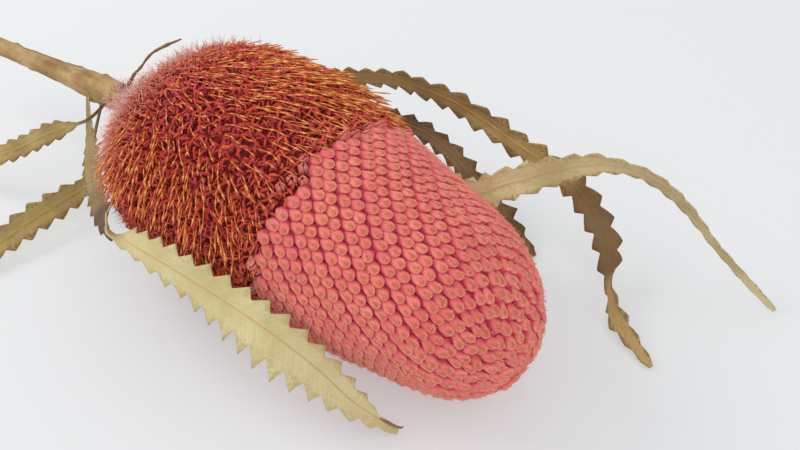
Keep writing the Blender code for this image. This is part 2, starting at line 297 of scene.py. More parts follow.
def start_material(name, roughness, sheen=0.0):
    """A new material, its node tree and its shader."""
    made = bpy.data.materials.new(name)
    made.use_nodes = True
    shader = made.node_tree.nodes["Principled BSDF"]
    shader.inputs["Roughness"].default_value = roughness
    shader.inputs["Specular IOR Level"].default_value = 0.25
    shader.inputs["Sheen Weight"].default_value = sheen
    shader.inputs["Sheen Roughness"].default_value = 0.45
    return made, made.node_tree, shader


def attribute(tree, name):
    return add_node(tree, "ShaderNodeAttribute", attribute_name=name).outputs["Fac"]


def grain(tree, scale, detail=3.0, stretch=(1, 1, 1)):
    """Cloudy noise on the piece's own coordinates, with this many clouds to the metre."""
    place = add_node(tree, "ShaderNodeTexCoord").outputs["Object"]
    place = add_node(tree, "ShaderNodeMapping", {"Vector": place, "Scale": stretch}).outputs["Vector"]
    sockets = {"Vector": place, "Scale": scale, "Detail": detail}
    return add_node(tree, "ShaderNodeTexNoise", sockets).outputs["Fac"]


def between(tree, value, low, high):
    """0 where the value is under low, 1 where it is over high."""
    sockets = {"Value": value, "From Min": low, "From Max": high}
    return add_node(tree, "ShaderNodeMapRange", sockets, interpolation_type="SMOOTHSTEP").outputs["Result"]


def work_out(tree, operation, *values):
    return add_node(tree, "ShaderNodeMath", dict(enumerate(values)), operation=operation).outputs["Value"]


def product(tree, a, b):
    return work_out(tree, "MULTIPLY", a, b)


def blend_colours(tree, share, a, b, way="MIX"):
    sockets = {0: share, 6: a, 7: b}
    return add_node(tree, "ShaderNodeMix", sockets, data_type="RGBA", blend_type=way).outputs[2]


def finish_material(tree, shader, colour, height, strength, distance):
    """Gives the shader its colour, and a bump of this height."""
    tree.links.new(colour, shader.inputs["Base Color"])
    sockets = {"Height": height, "Strength": strength, "Distance": distance}
    bump = add_node(tree, "ShaderNodeBump", sockets)
    tree.links.new(bump.outputs["Normal"], shader.inputs["Normal"])


sites = floret_sites()
spike_places = [spike_frame(s, angle) for s, angle, _ in sites]
borders = [BORDER_SHIFT + BORDER_WANDER * noise.noise(place[0] * BORDER_WAVES) for place in spike_places]
closed = [i for i, place in enumerate(spike_places) if past_opening(place[0]) < borders[i]]
opened = [i for i, place in enumerate(spike_places) if past_opening(place[0]) >= borders[i]]

bm = bmesh.new()
crown_layer = bm.verts.layers.float.new("crown")
spot_layer = bm.verts.layers.float.new("spot")
rim_layer = bm.verts.layers.float.new("rim")
tone_layer = bm.verts.layers.float.new("tone")
bud_cells = floret_cells(bm, closed, valley_depth, crown_layer)
bmesh.ops.bisect_edges(bm, edges=bm.edges[:], cuts=1)
outline = {vert: vert for vert in bm.verts}
bud_random = random.Random(BUD_SEED)
buds = {}
for i, face in bud_cells.items():
    _, outward, tipward, around = spike_places[i]
    near_tip = 1 - smooth(sites[i][0] / TIP_DOME_LENGTH)
    lean = BUD_LEAN + bud_random.gauss(0, LEAN_SPREAD + TIP_LEAN_SPREAD * near_tip)
    nose = tipward * math.cos(lean) + around * math.sin(lean)
    foot = face.calc_center_median()
    middle = foot + outward * outward.dot(spike_places[i][0] - foot)
    middle += around * PAIR_SHIFT * (2 * (column_of(i) % 2) - 1)
    rise = bud_random.gauss(0, RISE_SPREAD + TIP_RISE_SPREAD * near_tip) * MM
    size = bud_random.uniform(*BUD_SIZES) - TIP_BUDS_SMALLER * near_tip * bud_random.random()
    buds[face] = (middle, outward, nose, rise, size, bud_random.random(), foot, 1 - TIP_UPRIGHT * near_tip)
for rounded, share, forward, height, tail_drop, crown, spot in BUD_RINGS:
    bmesh.ops.inset_individual(bm, faces=list(buds), thickness=FIRST_INSET)
    for face, (middle, outward, nose, rise, size, tone, foot, leaning) in buds.items():
        inside = set(face.verts)
        for vert in face.verts:
            outer = next(e.other_vert(vert) for e in vert.link_edges if e.other_vert(vert) not in inside)
            outline[vert] = outline[outer]
            reach = outline[vert].co - foot
            reach -= outward * reach.dot(outward)
            side = outward.cross(nose)
            turn = math.atan2(reach.dot(side), reach.dot(nose))
            towards_nose = math.cos(turn)
            lift = (height - tail_drop * leaning * max(0.0, -towards_nose)) * MM + rise
            round_reach = reach.lerp(drop_outline(turn, nose, side), rounded) * share * size
            woolly = outward * bud_random.gauss(0, ROUGH_RISE) * MM
            woolly += side * bud_random.gauss(0, ROUGH_SHIFT) * MM
            vert.co = middle + round_reach + nose * forward * leaning * MM + outward * lift + woolly
            foot_crown = outline[vert][crown_layer]
            vert[crown_layer] = foot_crown + (1 - foot_crown) * crown
            vert[spot_layer] = spot
            nose_side = smooth(towards_nose * 1.6 - 0.4)
            vert[rim_layer] = nose_side * (1 - abs(share - RIM_AT) / RIM_OVER)
            vert[tone_layer] = tone
for vert in bmesh.ops.poke(bm, faces=list(buds))["verts"]:
    vert[crown_layer] = 1
    vert[spot_layer] = 1
    vert[rim_layer] = 0
    vert[tone_layer] = vert.link_edges[0].other_vert(vert)[tone_layer]
close_ends(bm)
press_on_floor(bm)

woolly_buds, tree, shader = start_material("woolly_pink_buds", 0.85, sheen=0.6)
shader.inputs["Sheen Tint"].default_value = linear(255, 205, 190)
clouds = between(tree, grain(tree, 90), 0.35, 0.65)
speckle = grain(tree, 1500, 2.0)
knob = blend_colours(tree, attribute(tree, "tone"), linear(232, 122, 114), linear(243, 142, 126))
knob = blend_colours(tree, product(tree, clouds, 0.5), knob, linear(230, 108, 114))
woolly = blend_colours(tree, 0.35, attribute(tree, "crown"), speckle)
# Deep crimson low on each bud and in the valleys, darkest in the pits and the grooves between pairs: partly
# the buds' own crimson, partly painted shade.
knob = blend_colours(tree, between(tree, woolly, 0.42, 0.76), linear(220, 84, 102), knob)
knob = blend_colours(tree, between(tree, woolly, 0.14, 0.46), linear(172, 34, 68), knob)
fibres = between(tree, grain(tree, 1100, 4.0, stretch=(0.5, 1, 1)), 0.46, 0.60)
knob = blend_colours(tree, product(tree, fibres, 0.22), knob, linear(206, 70, 92))
rim = product(tree, attribute(tree, "rim"), 0.45)
knob = blend_colours(tree, rim, knob, linear(252, 182, 152))
spot = between(tree, attribute(tree, "spot"), 0.30, 1.0)
bare = blend_colours(tree, speckle, linear(160, 76, 38), linear(212, 124, 66))
knob = blend_colours(tree, product(tree, spot, 0.78), knob, bare)
mottle = add_node(tree, "ShaderNodeValToRGB", {"Fac": speckle}).outputs["Color"]
knob = blend_colours(tree, 0.28, knob, mottle, "OVERLAY")
finish_material(tree, shader, knob, grain(tree, 2200, 3.0), 0.6, 0.15 * MM)

closed_buds = make_piece("closed_buds", bm, woolly_buds)
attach(closed_buds, "root")
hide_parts("closed_florets")


# Open florets. The base end of the spike, where the buds have split: each has curled its woolly lobes back,
# dark rose-red, over the felted ground of the axis. The ground is one closed body under the lobes. Next to
# the closed buds some are only half open, and stand as pink cups.

OPEN_DEPTH = 5.6 * MM
GROUND_RISE = 2.0 * MM
LOBES_PER_FLORET = 6
LOBE_SIDES = 3
LOBE_SWELLS = (0.40, 0.60, 0.66, 0.54, 0.22)
LOBE_ROOT = 3.7
LOBE_SIZES = (0.75, 1.1)
LOBES_SMALLER = 0.35
SMALLER_FROM = 122
SMALLER_OVER = 20
OPEN_SEED = 21
HALF_OPEN_ZONE = 3.2 * MM
HALF_OPEN_SHARE = 0.45
HALF_OPEN_SCALES = 5
HALF_OPEN_MOUTH = 1.0 * MM
HALF_OPEN_ROOT = 4.2
HALF_OPEN_SIZES = (0.85, 1.1)

# Each lobe: how far it curls in radians, then its height and its width in millimetres.
CURLED_LOBES = ((2.2, 4.9, 0.85), (3.0, 5.6, 0.75), (3.8, 6.4, 0.7),
                (1.5, 4.4, 0.85), (4.6, 7.2, 0.65), (2.6, 5.4, 0.9))
UPRIGHT_SCALE = (-0.35, 5.6, 1.5)

# The mean lean and its spread, as slopes: towards the tip, then round the spike.
LOBE_TILT = ((0.15, 0.25), (0, 0.25))
HALF_OPEN_TILT = ((0.35, 0.15), (0, 0.15))


def empty_bed():
    """A bmesh to plant shapes in, with the layers that they carry."""
    bed = bmesh.new()
    bed.verts.layers.float.new("reach")
    bed.verts.layers.float.new("tone")
    return bed


def tube(path, radii, sides, flat=1.0):
    """A closed rod along the path, with a radius at each point. Its reach runs from 0 to 1 at the tip."""
    bm = empty_bed()
    reach = bm.verts.layers.float["reach"]
    last = len(path) - 1
    heading = (path[1] - path[0]).normalized()
    turn = Vector((0, 0, 1)).rotation_difference(heading).to_matrix()
    ring = bmesh.ops.create_circle(bm, segments=sides, radius=radii[0])["verts"]
    bmesh.ops.scale(bm, verts=ring, vec=(flat, 1, 1))
    bmesh.ops.rotate(bm, verts=ring, cent=(0, 0, 0), matrix=turn)
    bmesh.ops.translate(bm, verts=ring, vec=path[0])
    edges = bm.edges[:]
    for i in range(1, last + 1):
        grown = bmesh.ops.extrude_edge_only(bm, edges=edges)["geom"]
        ring = [item for item in grown if isinstance(item, bmesh.types.BMVert)]
        edges = [item for item in grown if isinstance(item, bmesh.types.BMEdge)]
        bmesh.ops.translate(bm, verts=ring, vec=path[i] - path[i - 1])
        after = (path[min(last, i + 1)] - path[i - 1]).normalized()
        bend = heading.rotation_difference(after).to_matrix()
        bmesh.ops.rotate(bm, verts=ring, cent=path[i], matrix=bend)
        size = radii[i] / radii[i - 1]
        bmesh.ops.scale(bm, verts=ring, vec=(size, size, size), space=Matrix.Translation(-path[i]))
        heading = after
        for vert in ring:
            vert[reach] = i / last
    bmesh.ops.holes_fill(bm, edges=bm.edges[:])
    bmesh.ops.recalc_face_normals(bm, faces=bm.faces)
    return bm


def shape_of(bm, name):
    """A small mesh to plant many times."""
    mesh = bpy.data.meshes.new(name)
    bm.to_mesh(mesh)
    bm.free()
    return mesh


def plant(bm, shape, place, tone):
    """Adds a copy of a small mesh to bm, put in its place, with a tone of its own."""
    copy = shape.copy()
    copy.transform(place)
    copy.attributes["tone"].data.foreach_set("value", [tone] * len(copy.vertices))
    bm.from_mesh(copy)
    bpy.data.meshes.remove(copy)


def stand(point, up, ahead, turn, size):
    """The place of a small mesh: its z along up, and its x along ahead, turned about up."""
    side = up.cross(ahead).normalized()
    ahead = side.cross(up)
    x = ahead * math.cos(turn) + side * math.sin(turn)
    y = up.cross(x)
    turned = Matrix((x, y, up)).transposed().to_4x4()
    return Matrix.Translation(point) @ turned @ Matrix.Diagonal((size, size, size, 1))


def tilted(place, draws, towards_tip, round_spike):
    """Outwards at a floret's place, with a lean drawn towards the tip and another round the spike."""
    _, outward, tipward, around = place
    return (outward + tipward * draws.gauss(*towards_tip) + around * draws.gauss(*round_spike)).normalized()


def curled_lobe(curl, height, width):
    """A woolly lobe that rises and curls over towards +x, in millimetres."""
    steps = len(LOBE_SWELLS) - 1
    path = []
    point = Vector((0.15, 0, 0)) * MM
    bend = 0.0
    for i in range(steps + 1):
        path.append(point.copy())
        bend = curl * (i / steps) ** 1.3
        point = point + Vector((math.sin(bend), 0, math.cos(bend))) * height * MM / steps
    radii = [width * share * MM for share in LOBE_SWELLS]
    return tube(path, radii, LOBE_SIDES, flat=0.6)


ground = empty_bed()
ground_tone = ground.verts.layers.float["tone"]
ground_reach = ground.verts.layers.float["reach"]
open_random = random.Random(OPEN_SEED)
ground_cells = floret_cells(ground, opened, lambda triangle: OPEN_DEPTH, ground_reach)
# Low reaches on the ground, at its corners and its raised middles, are painted darker by the felt, as shade.
for vert in bmesh.ops.poke(ground, faces=list(ground_cells.values()))["verts"]:
    vert.co += vert.normal * GROUND_RISE * open_random.uniform(0.5, 1.1)
    vert[ground_tone] = open_random.random()
    vert[ground_reach] = 0.35
close_ends(ground)
press_on_floor(ground)

lobe_shapes = [shape_of(curled_lobe(*lobe), f"lobe_{i}") for i, lobe in enumerate(CURLED_LOBES)]
half_open_scale = curled_lobe(*UPRIGHT_SCALE)
scale_crown = half_open_scale.verts.layers.float.new("crown")
scale_reach = half_open_scale.verts.layers.float["reach"]
for vert in half_open_scale.verts:
    vert[scale_crown] = 0.5 + 0.5 * vert[scale_reach]
half_open_shape = shape_of(half_open_scale, "half_open_scale")
upper_lobes = empty_bed()
under_lobes = empty_bed()
half_open = empty_bed()
half_open.verts.layers.float.new("crown")
for i in opened:
    point, outward, tipward, around = spike_places[i]
    if past_opening(point) - borders[i] < HALF_OPEN_ZONE and open_random.random() < HALF_OPEN_SHARE:
        tilt = tilted(spike_places[i], open_random, *HALF_OPEN_TILT)
        size = open_random.uniform(*HALF_OPEN_SIZES)
        tone = open_random.random()
        for k in range(HALF_OPEN_SCALES):
            turn = math.tau * k / HALF_OPEN_SCALES + open_random.gauss(0, 0.12)
            place = stand(point - outward * HALF_OPEN_ROOT * MM, tilt, tipward, turn, size)
            place.translation += place.to_3x3() @ Vector((HALF_OPEN_MOUTH, 0, 0))
            plant(half_open, half_open_shape, place, tone)
        continue
    bm = upper_lobes if outward.z > 0 else under_lobes
    yaw = open_random.uniform(0, math.tau)
    for k in range(LOBES_PER_FLORET):
        turn = yaw + math.tau * k / LOBES_PER_FLORET + open_random.gauss(0, 0.3)
        loose = around * open_random.uniform(-1, 1) * MM + tipward * open_random.uniform(-1, 1) * MM
        foot = point + loose - outward * (LOBE_ROOT + open_random.uniform(-0.5, 0.5)) * MM
        tilt = tilted(spike_places[i], open_random, *LOBE_TILT)
        towards_base = smooth((sites[i][0] / MM - SMALLER_FROM) / SMALLER_OVER)
        size = open_random.uniform(*LOBE_SIZES) * (1 - LOBES_SMALLER * towards_base)
        place = stand(foot, tilt, tipward, turn, size)
        plant(bm, open_random.choice(lobe_shapes), place, open_random.random())
for bm in (upper_lobes, under_lobes, half_open):
    press_on_floor(bm)


def position_x(tree):
    """Where a point lies along X, towards the spike's tip."""
    place = add_node(tree, "ShaderNodeTexCoord").outputs["Object"]
    return add_node(tree, "ShaderNodeSeparateXYZ", {"Vector": place}).outputs["X"]


rosy_felt, tree, shader = start_material("rosy_felt", 0.85, sheen=0.4)
shader.inputs["Sheen Tint"].default_value = linear(240, 150, 140)
reach = attribute(tree, "reach")
tone = attribute(tree, "tone")
felt = blend_colours(tree, tone, linear(186, 54, 62), linear(224, 92, 92))
felt = blend_colours(tree, between(tree, tone, 0.80, 0.90), felt, linear(224, 108, 56))
felt = blend_colours(tree, between(tree, grain(tree, 130), 0.40, 0.62), felt, linear(208, 76, 56))
along = position_x(tree)
by_stem = product(tree, between(tree, along, -0.028, -0.062), 0.75)
felt = blend_colours(tree, by_stem, felt, linear(226, 122, 100))
by_buds = product(tree, between(tree, along, 0, 0.014), 0.55)
felt = blend_colours(tree, by_buds, felt, linear(234, 104, 84))
# Darker red at the lobes' roots and low on the ground between them: painted shade deep in the wool.
felt = blend_colours(tree, between(tree, reach, 0.02, 0.7), linear(178, 50, 52), felt)
finish_material(tree, shader, felt, grain(tree, 2400, 3.0), 0.5, 0.15 * MM)

felted_ground = make_piece("felted_ground", ground, rosy_felt)
upper_curled_lobes = make_piece("upper_curled_lobes", upper_lobes, rosy_felt)
under_curled_lobes = make_piece("under_curled_lobes", under_lobes, rosy_felt)
for piece in (felted_ground, upper_curled_lobes, under_curled_lobes):
    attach(piece, "root")
    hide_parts("open_florets")
half_open_buds = make_piece("half_open_buds", half_open, woolly_buds)
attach(half_open_buds, "root")


# Stem. A woody twig, swollen where the leaves leave it, with raised leaf scars and fine ridges along its
# bark. The twig was cut across at its far end. A short dead stub stands beside the spike's foot.

# Rows of x, y, z and radius, in millimetres.
STEM_ROUTE = ((-64.8, 0, 40, 4.6), (-69, 0, 40.3, 4.3), (-75, 0, 40.2, 4.2), (-83, 0, 39.4, 4.4),
              (-92, 0, 38.7, 4.9), (-103, 0, 38, 4.6), (-118, 0, 36.4, 3.8), (-140, 0, 34, 3.3),
              (-163, 0, 31.6, 3.1), (-186, 0, 29, 3.1))
STUB_ROUTE = ((-78.5, 2, 41, 2.4), (-77, 2.6, 45.5, 2), (-76, 3, 48.5, 1.3), (-75.2, 3.4, 50.6, 0.3))
STEM_SIDES = 18
STUB_SIDES = 12
STEM_ROWS = 150
CUT_FACE = 0.5 * MM
BARK_RELIEF = 0.7

# Each scar: x in millimetres, its angle round the stem in degrees, and how far it stands out.
SCARS = (
    (-96, 70, 1.3), (-108, 150, 1.1), (-112, 20, 1.2), (-124, 100, 0.9), (-135, 200, 0.9), (-131, 330, 0.8),
    (-149, 60, 0.8), (-160, 160, 0.8), (-171, 290, 0.8), (-176, 90, 0.7), (-99, 230, 1.2), (-88, 120, 1.0),
)
SCAR_LENGTH = 1.6
SCAR_WIDTH = 22


def route_point(points, t):
    """A point of the smooth curve through the rows of points, at t from 0 to 1, each row counting alike."""
    last = len(points) - 1
    i = min(last - 1, int(t * last))
    u = t * last - i
    a, b, c, d = (points[min(last, max(0, i + k))] for k in (-1, 0, 1, 2))
    return [
        0.5 * (2 * q + (r - p) * u + (2 * p - 5 * q + 4 * r - w) * u * u + (3 * q - p - 3 * r + w) * u ** 3)
        for p, q, r, w in zip(a, b, c, d)
    ]


def rod(rows, sides, flat=1.0):
    """A tube through rows of x, y, z and radius, in millimetres."""
    return tube([Vector(row[:3]) * MM for row in rows], [row[3] * MM for row in rows], sides, flat)


stem_rows = [route_point(STEM_ROUTE, i / STEM_ROWS) for i in range(STEM_ROWS + 1)]
bark = rod(stem_rows, STEM_SIDES)
for vert in bark.verts:
    along = vert.co.x / MM
    row = min(stem_rows, key=lambda r: abs(r[0] - along))
    away = vert.co - Vector(row[:3]) * MM
    if away.length < CUT_FACE:
        continue
    angle = math.degrees(math.atan2(away.z, away.y)) % 360
    ridges = noise.noise(Vector((along * 0.10, angle * 0.05, 3.0)))
    swell = 0.35 * ridges + 0.25 * noise.noise(vert.co * 260)
    for where, scar_angle, scar_size in SCARS:
        turn = (angle - scar_angle + 180) % 360 - 180
        near = math.exp(-((along - where) / SCAR_LENGTH) ** 2 - (turn / SCAR_WIDTH) ** 2)
        swell += scar_size * near
    vert.co += away.normalized() * swell * BARK_RELIEF * MM
bark.from_mesh(shape_of(rod(STUB_ROUTE, STUB_SIDES), "stub"))

dry_bark, tree, shader = start_material("dry_tan_bark", 0.75)
fibres = grain(tree, 420, 4.0, stretch=(0.12, 1, 1))
patches = between(tree, grain(tree, 70), 0.38, 0.64)
tan = blend_colours(tree, patches, linear(188, 158, 106), linear(158, 124, 78))
tan = blend_colours(tree, between(tree, fibres, 0.42, 0.75), tan, linear(136, 100, 60))
tan = blend_colours(tree, between(tree, grain(tree, 900), 0.62, 0.72), tan, linear(96, 64, 38))
finish_material(tree, shader, tan, fibres, 0.6, 0.3 * MM)

woody_stem = make_piece("woody_stem", bark, dry_bark)
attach(woody_stem, "root")
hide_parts("stem")


# Wool. Fine hairs stand between the florets: dark red among the open ones, a pale pink tuft round the
# spike's base and the first of the stem, and short tan bristles at the noses of the closed buds. Each hair
# is a thin rod with three sides, planted in what it grows from.

HAIR_SIDES = 3
WOOL_SEED = 33
BASE_TUFT_FROM = 116 * MM
BASE_TUFT_OVER = 24 * MM
TUFT_HAIRS = 12
DARK_WOOL_FROM = 2 * MM
BRISTLES_TO_A_BUD = 3

# Each hair: its length, and how far it bends, in millimetres.
DARK_HAIRS = ((5.0, 1.6), (6.0, 2.4), (4.4, 1.0), (6.8, 3.2))
PALE_HAIRS = ((3.4, 1.2), (4.4, 2.2), (5.0, 3.0), (3.8, -1.0))
BRISTLES = ((1.0, 0.5), (1.3, 0.8), (0.8, 0.2))
DARK_HAIR_RADIUS = 0.06
PALE_HAIR_RADIUS = 0.14
BRISTLE_RADIUS = 0.09
DARK_HAIR_TILT = ((0.35, 0.3), (0, 0.35))
PALE_HAIR_TILT = ((0, 0.7), (0, 0.7))
BRISTLE_TILT = ((0.7, 0.4), (0.1, 0.5))
DARK_HAIR_ROOT = 3.6
PALE_HAIR_ROOT = 2.4

# The pale wool on the first of the stem, in millimetres.
HAIRS_ON_STEM = 1400
STEM_WOOL_FROM = -63
STEM_WOOL_OVER = 24
STEM_WOOL_HEIGHT = 40
STEM_WOOL_RING = 3.8


def hair(length, bend, radius):
    """A fine hair up from its root, bent towards +x, in millimetres."""
    steps = (0, 0.4, 0.75, 1)
    path = [Vector((bend * t * t, 0.15 * bend * math.sin(4 * t), length * t)) * MM for t in steps]
    return tube(path, [radius * k * MM for k in (1.0, 0.8, 0.5, 0.15)], HAIR_SIDES)


def hair_shapes(name, hairs, radius):
    """The small meshes of one kind of hair."""
    return [shape_of(hair(length, bend, radius), f"{name}_{i}") for i, (length, bend) in enumerate(hairs)]


def plant_hair(bed, shapes, i, foot, tilt, turn):
    """Plants a hair by floret i with its foot there, its tilt, turn, shape and tone drawn in that order."""
    up = tilted(spike_places[i], wool_random, *tilt)
    place = stand(foot, up, spike_places[i][2], wool_random.uniform(-turn, turn), 1)
    plant(bed, wool_random.choice(shapes), place, wool_random.random())


wool_random = random.Random(WOOL_SEED)
dark_hair_shapes = hair_shapes("dark_hair", DARK_HAIRS, DARK_HAIR_RADIUS)
dark_hairs = empty_bed()
for i in opened:
    point, outward, tipward, around = spike_places[i]
    if past_opening(point) < DARK_WOOL_FROM:
        continue
    loose = around * wool_random.uniform(-1.8, 1.8) * MM + tipward * wool_random.uniform(-1.8, 1.8) * MM
    foot = point + loose - outward * DARK_HAIR_ROOT * MM
    plant_hair(dark_hairs, dark_hair_shapes, i, foot, DARK_HAIR_TILT, 1.2)
press_on_floor(dark_hairs)

pale_hair_shapes = hair_shapes("pale_hair", PALE_HAIRS, PALE_HAIR_RADIUS)
pale_hairs = empty_bed()
for i in opened:
    point, outward, tipward, around = spike_places[i]
    thick = TUFT_HAIRS * smooth((sites[i][0] - BASE_TUFT_FROM) / BASE_TUFT_OVER)
    for _ in range(round(thick + wool_random.uniform(-0.4, 0.4))):
        loose = around * wool_random.uniform(-2, 2) * MM + tipward * wool_random.uniform(-2, 2) * MM
        foot = point + loose - outward * PALE_HAIR_ROOT * MM
        plant_hair(pale_hairs, pale_hair_shapes, i, foot, PALE_HAIR_TILT, 3)
press_on_floor(pale_hairs)
for _ in range(HAIRS_ON_STEM):
    x = STEM_WOOL_FROM - STEM_WOOL_OVER * wool_random.random() ** 1.3
    turn = wool_random.uniform(0, math.tau)
    out = Vector((0, math.cos(turn), math.sin(turn)))
    along_stem = Vector((wool_random.gauss(-0.1, 0.6), 0, 0))
    round_stem = out.cross(Vector((1, 0, 0))) * wool_random.gauss(0, 0.5)
    foot = Vector((x, 0, STEM_WOOL_HEIGHT)) * MM + out * STEM_WOOL_RING * MM
    place = stand(foot, (out + along_stem + round_stem).normalized(), Vector((-1, 0, 0)),
                  wool_random.uniform(-3, 3), wool_random.uniform(0.6, 0.9))
    plant(pale_hairs, wool_random.choice(pale_hair_shapes), place, wool_random.random())

bristle_shapes = hair_shapes("bristle", BRISTLES, BRISTLE_RADIUS)
bristles = empty_bed()
for i in closed:
    point, outward, tipward, around = spike_places[i]
    for _ in range(BRISTLES_TO_A_BUD):
        loose = tipward * wool_random.uniform(0.5, 1.7) * MM + around * wool_random.uniform(-0.6, 0.6) * MM
        foot = point + loose + outward * 0.2 * MM
        plant_hair(bristles, bristle_shapes, i, foot, BRISTLE_TILT, 1)
press_on_floor(bristles)

dark_red_wool, tree, shader = start_material("dark_red_wool", 0.8, sheen=0.3)
red = blend_colours(tree, attribute(tree, "reach"), linear(140, 40, 42), linear(206, 100, 80))
red = blend_colours(tree, product(tree, attribute(tree, "tone"), 0.5), red, linear(196, 98, 60))
finish_material(tree, shader, red, grain(tree, 3000, 2.0), 0.2, 0.05 * MM)

pale_pink_wool, tree, shader = start_material("pale_pink_wool", 0.85, sheen=0.5)
pink = blend_colours(tree, attribute(tree, "tone"), linear(234, 134, 112), linear(250, 190, 168))
by_stem = product(tree, between(tree, position_x(tree), -0.046, -0.064), 0.85)
pink = blend_colours(tree, by_stem, pink, linear(253, 208, 198))
pink = blend_colours(tree, between(tree, attribute(tree, "reach"), 0, 0.6), linear(228, 124, 110), pink)
finish_material(tree, shader, pink, grain(tree, 3000, 2.0), 0.2, 0.05 * MM)

tan_bristle_wool, tree, shader = start_material("tan_bristle_wool", 0.85, sheen=0.4)
tan = blend_colours(tree, attribute(tree, "tone"), linear(214, 126, 82), linear(252, 190, 150))
finish_material(tree, shader, tan, grain(tree, 3000, 2.0), 0.2, 0.05 * MM)

for name, hairs, paint in (
    ("dark_wool", dark_hairs, dark_red_wool),
    ("pale_wool", pale_hairs, pale_pink_wool),
):
    piece = make_piece(name, hairs, paint)
    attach(piece, "root")
bud_bristles = make_piece("bud_bristles", bristles, tan_bristle_wool)
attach(bud_bristles, "root")


# Pale leaves. Long dried blades with saw-toothed margins and a raised orange midrib, each fixed to the stem
# under the spike: the front one leans against the spike, and the arched one comes down at the far right.
# Each blade's far face has dried to a darker tone.

LEAF_THICKNESS = 0.5 * MM
LEAF_FOLD = 0.12
LEAF_STALK = 0.13
ROUTE_STEPS = 400
ROWS_TO_A_TOOTH = 10
BLADE_COLUMNS = (0, 0.05, 0.13, 0.34, 0.58, 0.80, 0.98)
TOOTH_AT = 0.6
TEETH_VARY = 0.3
TOOTH_FORWARD = 0.10

# Heights in millimetres, and widths in shares of the half blade or of a tooth.
RIB_HEIGHT = 0.35
RIB_WIDTH = 0.07
VEIN_HEIGHT = 0.22
VEIN_WIDTH = 0.11
VEIN_SLANT = 0.45
COARSE_CRINKLE = 0.5
FINE_CRINKLE = 0.18

VEINS_TO_A_METRE = 620
SWEEP_OF_VEINS = 0.004
STRETCH_FADES_OVER = 8 * MM

# A route's rows are x, y and z in millimetres and the blade's roll in degrees. A swell is where it is along
# the blade, over how much of it, how much wider, and on which half: 1 or -1, or 0 for both.
LEAF_FRONT = dict(
    route=((-99, -4.6, 36.2, -118), (-92, -10.5, 30, -126), (-72.5, -24, 30, -140), (-51.5, -36.5, 31, -136),
           (-38, -43, 34.5, -92), (-26, -44.6, 37, 30), (-8, -43.6, 37, 66), (10, -41.6, 34.6, 62),
           (26, -38.6, 29.2, 45), (38, -34.8, 21.2, 37), (47, -31, 12, 38), (56, -24, 2, 25)),
    half_width=8.0, pitch=5.9, widest=0.72, blunt=2.8, lobed=0.0, notch_share=0.52,
    swells=((0.17, 0.11, 0.40, 0), (0.37, 0.05, -0.12, 0), (0.37, 0.04, 0.5, -1), (0.46, 0.06, -0.18, 0),
            (0.50, 0.09, -0.32, -1), (0.79, 0.10, 0.52, -1), (0.975, 0.025, -0.5, 1)))
LEAF_ARCHED = dict(
    route=((-80, 3.6, 36.4, 30), (-74, 20, 32, 60), (-58, 40, 31, 70), (-16, 46, 31, 60),
           (22, 43, 29, 50), (37, 49, 36, 55), (46, 58, 40, 80), (57, 68, 42.5, 110),
           (68, 75, 40, 125), (79, 81, 31, 126), (92, 85, 17, 125), (111, 89, 1.2, 90)),
    half_width=5.6, pitch=6.6, widest=0.35, blunt=2.0, lobed=0.35, notch_share=0.66)


def even_route(points, count):
    """Count rows of the smooth curve, evenly spaced along its length, and that length."""
    fine = [route_point(points, i / ROUTE_STEPS) for i in range(ROUTE_STEPS + 1)]
    far = [0.0]
    for p, q in zip(fine, fine[1:]):
        far.append(far[-1] + math.dist(p[:3], q[:3]))
    rows = []
    j = 0
    for i in range(count):
        want = far[-1] * i / (count - 1)
        while j < ROUTE_STEPS - 1 and far[j + 1] < want:
            j += 1
        share = (want - far[j]) / max(1e-9, far[j + 1] - far[j])
        rows.append([p + (q - p) * share for p, q in zip(fine[j], fine[j + 1])])
    return rows, far[-1]


def tooth_profile(phase, lobed):
    """How far out the margin stands, from 0 at a notch to 1 at a tooth, which points forward."""
    if phase < TOOTH_AT:
        rising = phase / TOOTH_AT
        return (1 - lobed) * rising + lobed * math.sin(rising * math.pi / 2)
    falling = (1 - phase) / (1 - TOOTH_AT)
    return (1 - lobed) * falling ** 1.4 + lobed * math.sin(falling * math.pi / 2)


